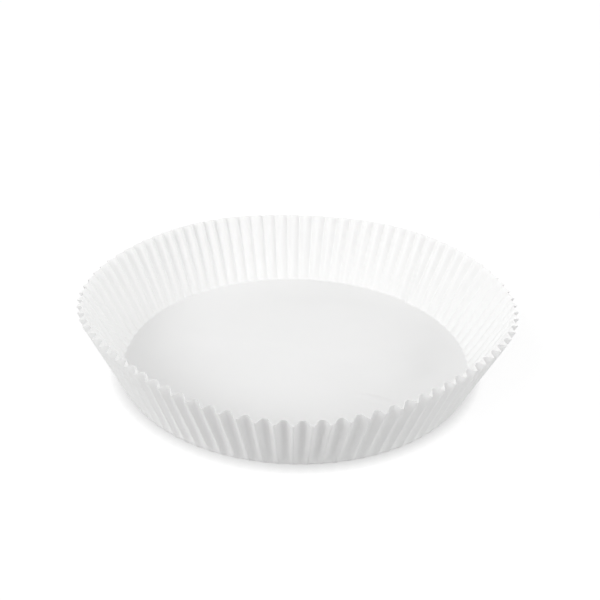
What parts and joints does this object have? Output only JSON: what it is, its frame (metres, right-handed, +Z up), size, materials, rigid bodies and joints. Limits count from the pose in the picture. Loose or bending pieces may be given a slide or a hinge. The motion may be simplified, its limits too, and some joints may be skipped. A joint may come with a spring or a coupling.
{
  "type": "air fryer paper liner",
  "caption": "Round white paper liner: a shallow dish with a flat base and a wall that leans outward in fine radial pleats up to a zigzag rim.",
  "frame": {"origin": "centre of the flat base's underside", "axes": "+Z up out of the open dish, -Y to the front, +X to the right as seen from the front"},
  "size_m": [0.2464, 0.2515, 0.0436],
  "materials": {
    "paper": "white greaseproof paper, smooth and matt with a faint silicone sheen"
  },
  "bodies": {
    "root": {"liner": "paper"}
  },
  "joints": []
}
